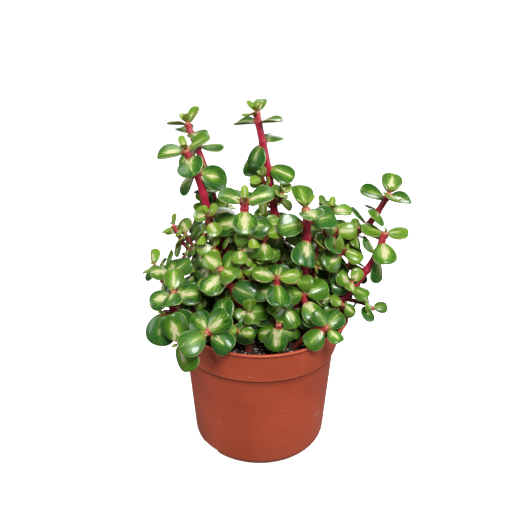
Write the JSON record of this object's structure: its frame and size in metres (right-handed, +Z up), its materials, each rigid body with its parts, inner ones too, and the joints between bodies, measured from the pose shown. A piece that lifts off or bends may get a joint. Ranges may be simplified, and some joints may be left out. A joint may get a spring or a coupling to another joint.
{
  "type": "elephant bush",
  "caption": "Variegated elephant bush with red stems and opposite round cream and green leaves, rooted as a bunch of leafy stems in a round terracotta coloured nursery pot.",
  "frame": {"origin": "middle of the pot's underside", "axes": "+Z up along the pot's axis, -Y to the front, +X to the right seen from the front"},
  "size_m": [0.1973, 0.1487, 0.2588],
  "materials": {
    "pot": "matte",
    "potting_mix": "matte",
    "leafy_stem_tall_left": "satin",
    "leafy_stem_tall_centre": "satin",
    "leafy_stem_centre_front": "satin",
    "leafy_stem_right_front": "satin",
    "leafy_stem_right_upright": "satin",
    "leafy_stem_long_right_upper": "satin",
    "leafy_stem_long_right_lower": "satin",
    "leafy_stem_low_right_front": "satin",
    "leafy_stem_low_left_front": "satin",
    "leafy_stem_left_front": "satin",
    "leafy_stem_left": "satin",
    "leafy_stem_front_left_inner": "satin",
    "leafy_stem_front_centre": "satin",
    "leafy_stem_front_right_inner": "satin",
    "leafy_stem_low_front": "satin",
    "leafy_stem_tall_left_back": "satin",
    "leafy_stem_left_outer": "satin",
    "leafy_stem_back_left": "satin",
    "leafy_stem_back_centre_left": "satin",
    "leafy_stem_back_centre": "satin",
    "leafy_stem_back_right": "satin",
    "leafy_stem_right_outer": "satin"
  },
  "bodies": {
    "root": {"pot": "pot", "potting_mix": "potting_mix", "leafy_stem_tall_left": "leafy_stem_tall_left", "leafy_stem_tall_centre": "leafy_stem_tall_centre", "leafy_stem_centre_front": "leafy_stem_centre_front", "leafy_stem_right_front": "leafy_stem_right_front", "leafy_stem_right_upright": "leafy_stem_right_upright", "leafy_stem_long_right_upper": "leafy_stem_long_right_upper", "leafy_stem_long_right_lower": "leafy_stem_long_right_lower", "leafy_stem_low_right_front": "leafy_stem_low_right_front", "leafy_stem_low_left_front": "leafy_stem_low_left_front", "leafy_stem_left_front": "leafy_stem_left_front", "leafy_stem_left": "leafy_stem_left", "leafy_stem_front_left_inner": "leafy_stem_front_left_inner", "leafy_stem_front_centre": "leafy_stem_front_centre", "leafy_stem_front_right_inner": "leafy_stem_front_right_inner", "leafy_stem_low_front": "leafy_stem_low_front", "leafy_stem_tall_left_back": "leafy_stem_tall_left_back", "leafy_stem_left_outer": "leafy_stem_left_outer", "leafy_stem_back_left": "leafy_stem_back_left", "leafy_stem_back_centre_left": "leafy_stem_back_centre_left", "leafy_stem_back_centre": "leafy_stem_back_centre", "leafy_stem_back_right": "leafy_stem_back_right", "leafy_stem_right_outer": "leafy_stem_right_outer"}
  },
  "joints": []
}
